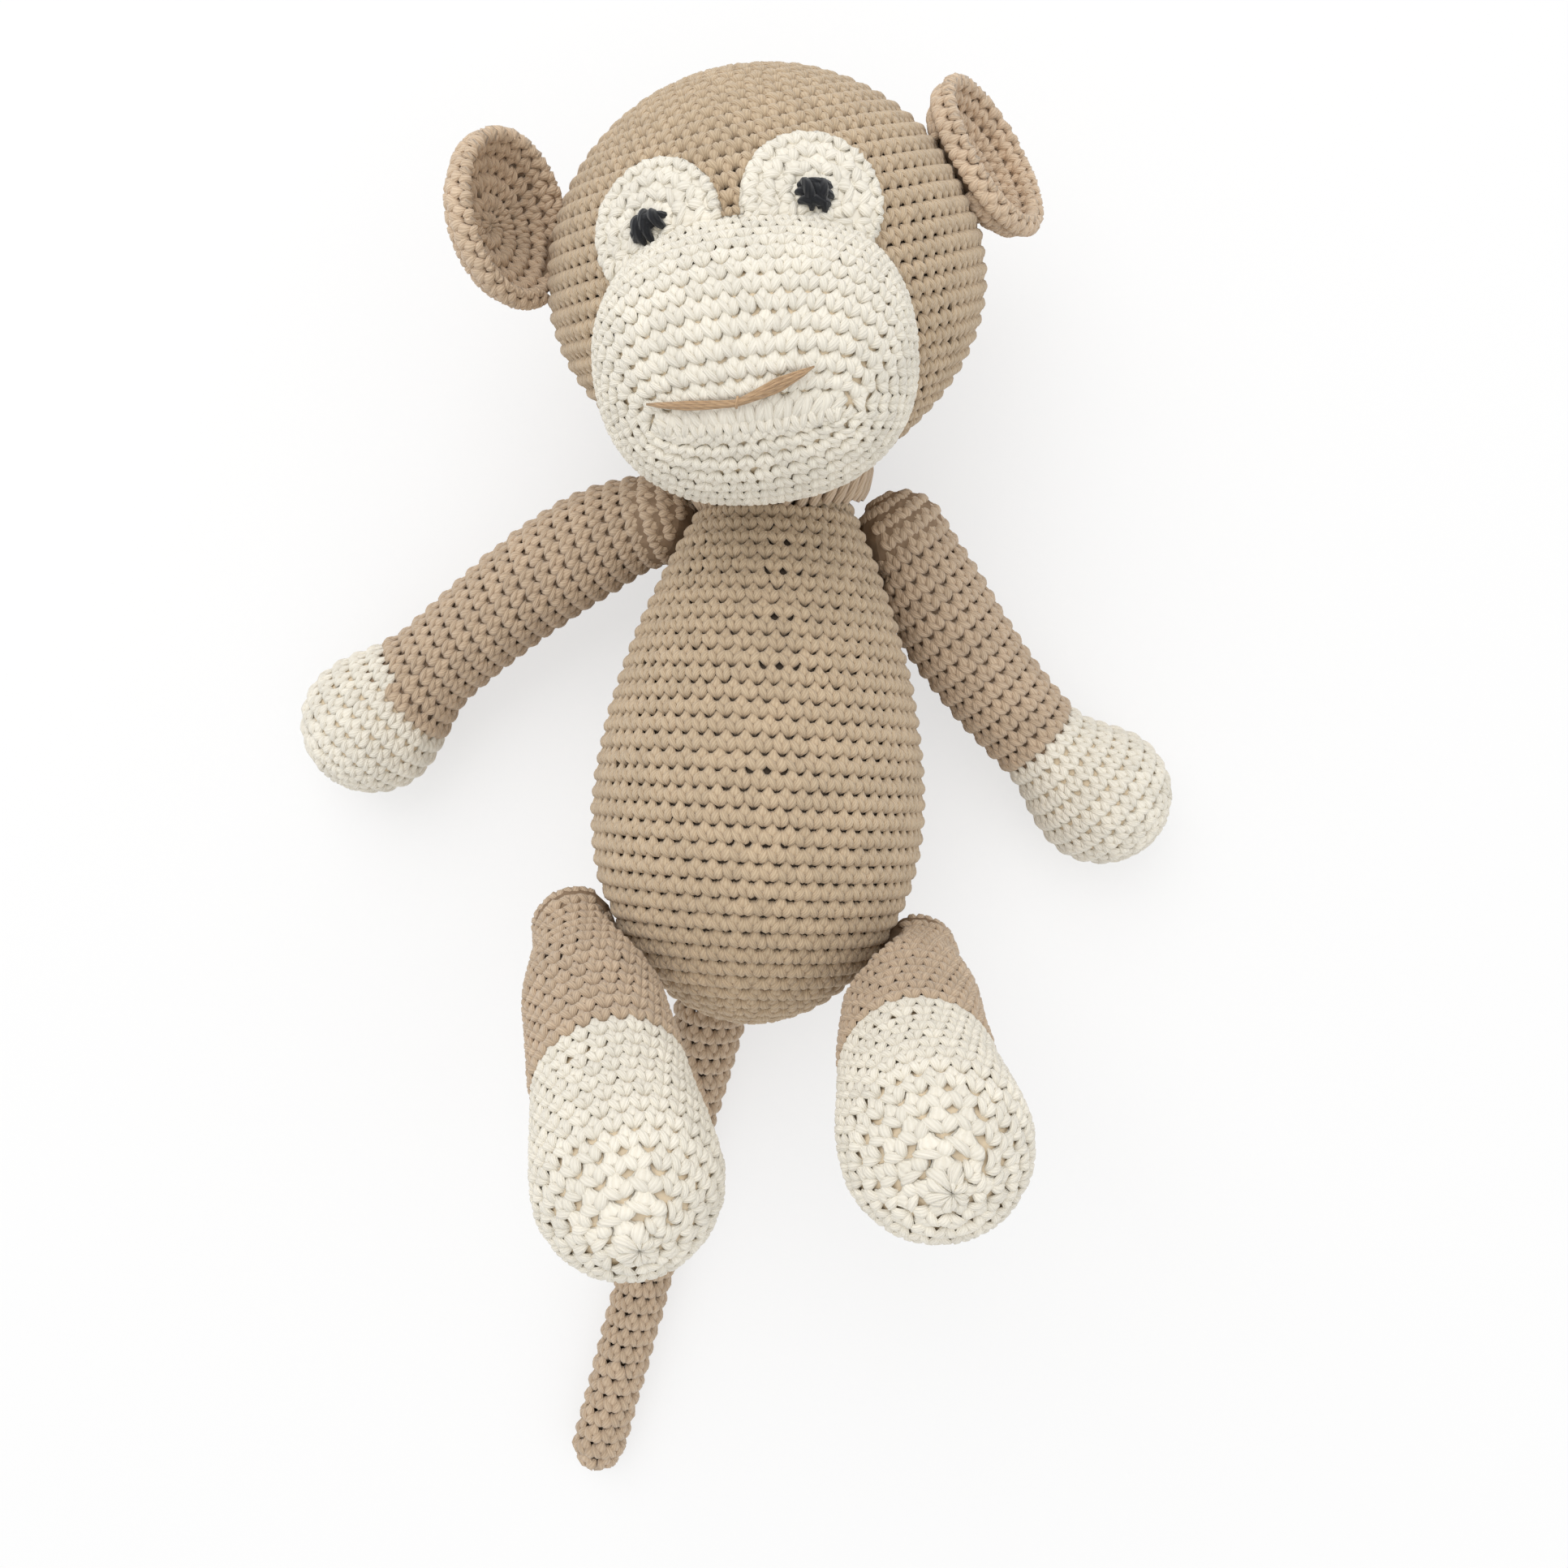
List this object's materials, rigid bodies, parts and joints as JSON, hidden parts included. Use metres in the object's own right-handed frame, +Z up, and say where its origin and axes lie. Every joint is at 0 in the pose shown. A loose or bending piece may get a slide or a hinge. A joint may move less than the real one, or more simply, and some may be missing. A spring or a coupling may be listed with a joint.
{
  "type": "crochet monkey toy",
  "caption": "Stuffed crocheted monkey lying on its back, with a round head, cupped ears, a raised muzzle, jointed arms and legs and a slim tail.",
  "frame": {"origin": "on the surface that the toy lies on, below the widest part of the belly, at the middle of the flat there", "axes": "+Z up, out of the belly; +Y along the body to the head; +X to the toy's own left side"},
  "size_m": [0.226, 0.3532, 0.1405],
  "materials": {
    "tan_yarn": "matt cotton yarn, single crochet",
    "brown_yarn": "matt cotton yarn, single crochet",
    "cream_yarn": "matt cotton yarn, single crochet",
    "dark_thread": "matt dark yarn, wound in a knot",
    "mouth_thread": "soft stranded embroidery thread",
    "stuffing": "loose polyester fibre filling"
  },
  "bodies": {
    "body": {"body_cover": "tan_yarn", "body_stuffing": "stuffing"},
    "neck": {"neck_seam": "tan_yarn"},
    "head": {"head_cover": "tan_yarn", "head_stuffing": "stuffing", "muzzle_cover": "cream_yarn", "muzzle_stuffing": "stuffing", "mouth_thread": "mouth_thread", "right_eye_patch": "cream_yarn", "right_eye_knot": "dark_thread", "left_eye_patch": "cream_yarn", "left_eye_knot": "dark_thread"},
    "right_ear": {"right_ear": "brown_yarn"},
    "left_ear": {"left_ear": "brown_yarn"},
    "tail_base": {"tail_base": "brown_yarn"},
    "tail_end": {"tail_end": "brown_yarn"},
    "right_arm_root": {"right_arm_root": "brown_yarn"},
    "right_arm": {"right_arm_cover": "brown_yarn", "right_hand_cover": "cream_yarn", "right_arm_stuffing": "stuffing"},
    "right_leg_root": {"right_leg_root": "brown_yarn"},
    "right_leg": {"right_leg_cover": "brown_yarn", "right_foot_cover": "cream_yarn", "right_leg_stuffing": "stuffing"},
    "left_arm_root": {"left_arm_root": "brown_yarn"},
    "left_arm": {"left_arm_cover": "brown_yarn", "left_hand_cover": "cream_yarn", "left_arm_stuffing": "stuffing"},
    "left_leg_root": {"left_leg_root": "brown_yarn"},
    "left_leg": {"left_leg_cover": "brown_yarn", "left_foot_cover": "cream_yarn", "left_leg_stuffing": "stuffing"}
  },
  "joints": [
    {"name": "head_turn", "type": "hinge", "parent": "body", "child": "neck", "pos_m": [-0.0062, 0.1252, 0.0506], "axis": [-0.1276, 0.9675, 0.2182], "range_deg": [-30, 30]},
    {"name": "head_nod", "type": "hinge", "parent": "neck", "child": "head", "pos_m": [-0.0062, 0.1252, 0.0506], "axis": [0.9918, 0.1245, 0.0281], "range_deg": [-15, 6]},
    {"name": "right_ear_flex", "type": "hinge", "parent": "head", "child": "right_ear", "pos_m": [-0.05905, 0.13066, 0.05764], "axis": [0.1039, 0.9946, 0.0081], "range_deg": [-22, 22]},
    {"name": "right_arm_swing", "type": "hinge", "parent": "body", "child": "right_arm_root", "pos_m": [-0.03133, 0.07125, 0.03219], "axis": [-0.8739, 0.4345, -0.2179], "range_deg": [-30, 90]},
    {"name": "right_arm_spread", "type": "hinge", "parent": "right_arm_root", "child": "right_arm", "pos_m": [-0.03133, 0.07125, 0.03219], "axis": [0.2269, -0.0318, -0.9734], "range_deg": [-14, 35]},
    {"name": "right_leg_swing", "type": "hinge", "parent": "body", "child": "right_leg_root", "pos_m": [-0.04238, -0.03099, 0.04596], "axis": [-0.9868, -0.1558, 0.045], "range_deg": [-60, 15]},
    {"name": "right_leg_spread", "type": "hinge", "parent": "right_leg_root", "child": "right_leg", "pos_m": [-0.04238, -0.03099, 0.04596], "axis": [0.304, -0.7819, -0.5442], "range_deg": [0, 30]},
    {"name": "left_ear_flex", "type": "hinge", "parent": "head", "child": "left_ear", "pos_m": [0.03802, 0.15464, 0.05772], "axis": [-0.5536, 0.8327, -0.0054], "range_deg": [-22, 22]},
    {"name": "left_arm_swing", "type": "hinge", "parent": "body", "child": "left_arm_root", "pos_m": [0.03123, 0.07146, 0.03221], "axis": [-0.8735, -0.4353, 0.2178], "range_deg": [-30, 90]},
    {"name": "left_arm_spread", "type": "hinge", "parent": "left_arm_root", "child": "left_arm", "pos_m": [0.03123, 0.07146, 0.03221], "axis": [0.2443, -0.0051, 0.9697], "range_deg": [0, 44]},
    {"name": "left_leg_swing", "type": "hinge", "parent": "body", "child": "left_leg_root", "pos_m": [0.04181, -0.03286, 0.03781], "axis": [-0.9859, 0.1665, 0.0167], "range_deg": [-60, 15]},
    {"name": "left_leg_spread", "type": "hinge", "parent": "left_leg_root", "child": "left_leg", "pos_m": [0.04181, -0.03286, 0.03781], "axis": [0.4566, 0.8444, 0.2803], "range_deg": [0, 30]},
    {"name": "tail_swing", "type": "hinge", "parent": "body", "child": "tail_base", "pos_m": [-0.00874, -0.05062, 0.01517], "axis": [0, 0, 1], "range_deg": [-25, 25]},
    {"name": "tail_lift", "type": "hinge", "parent": "tail_base", "child": "tail_end", "pos_m": [-0.01858, -0.10594, 0.00675], "axis": [-0.9832, 0.1824, 0], "range_deg": [-30, 30]}
  ]
}
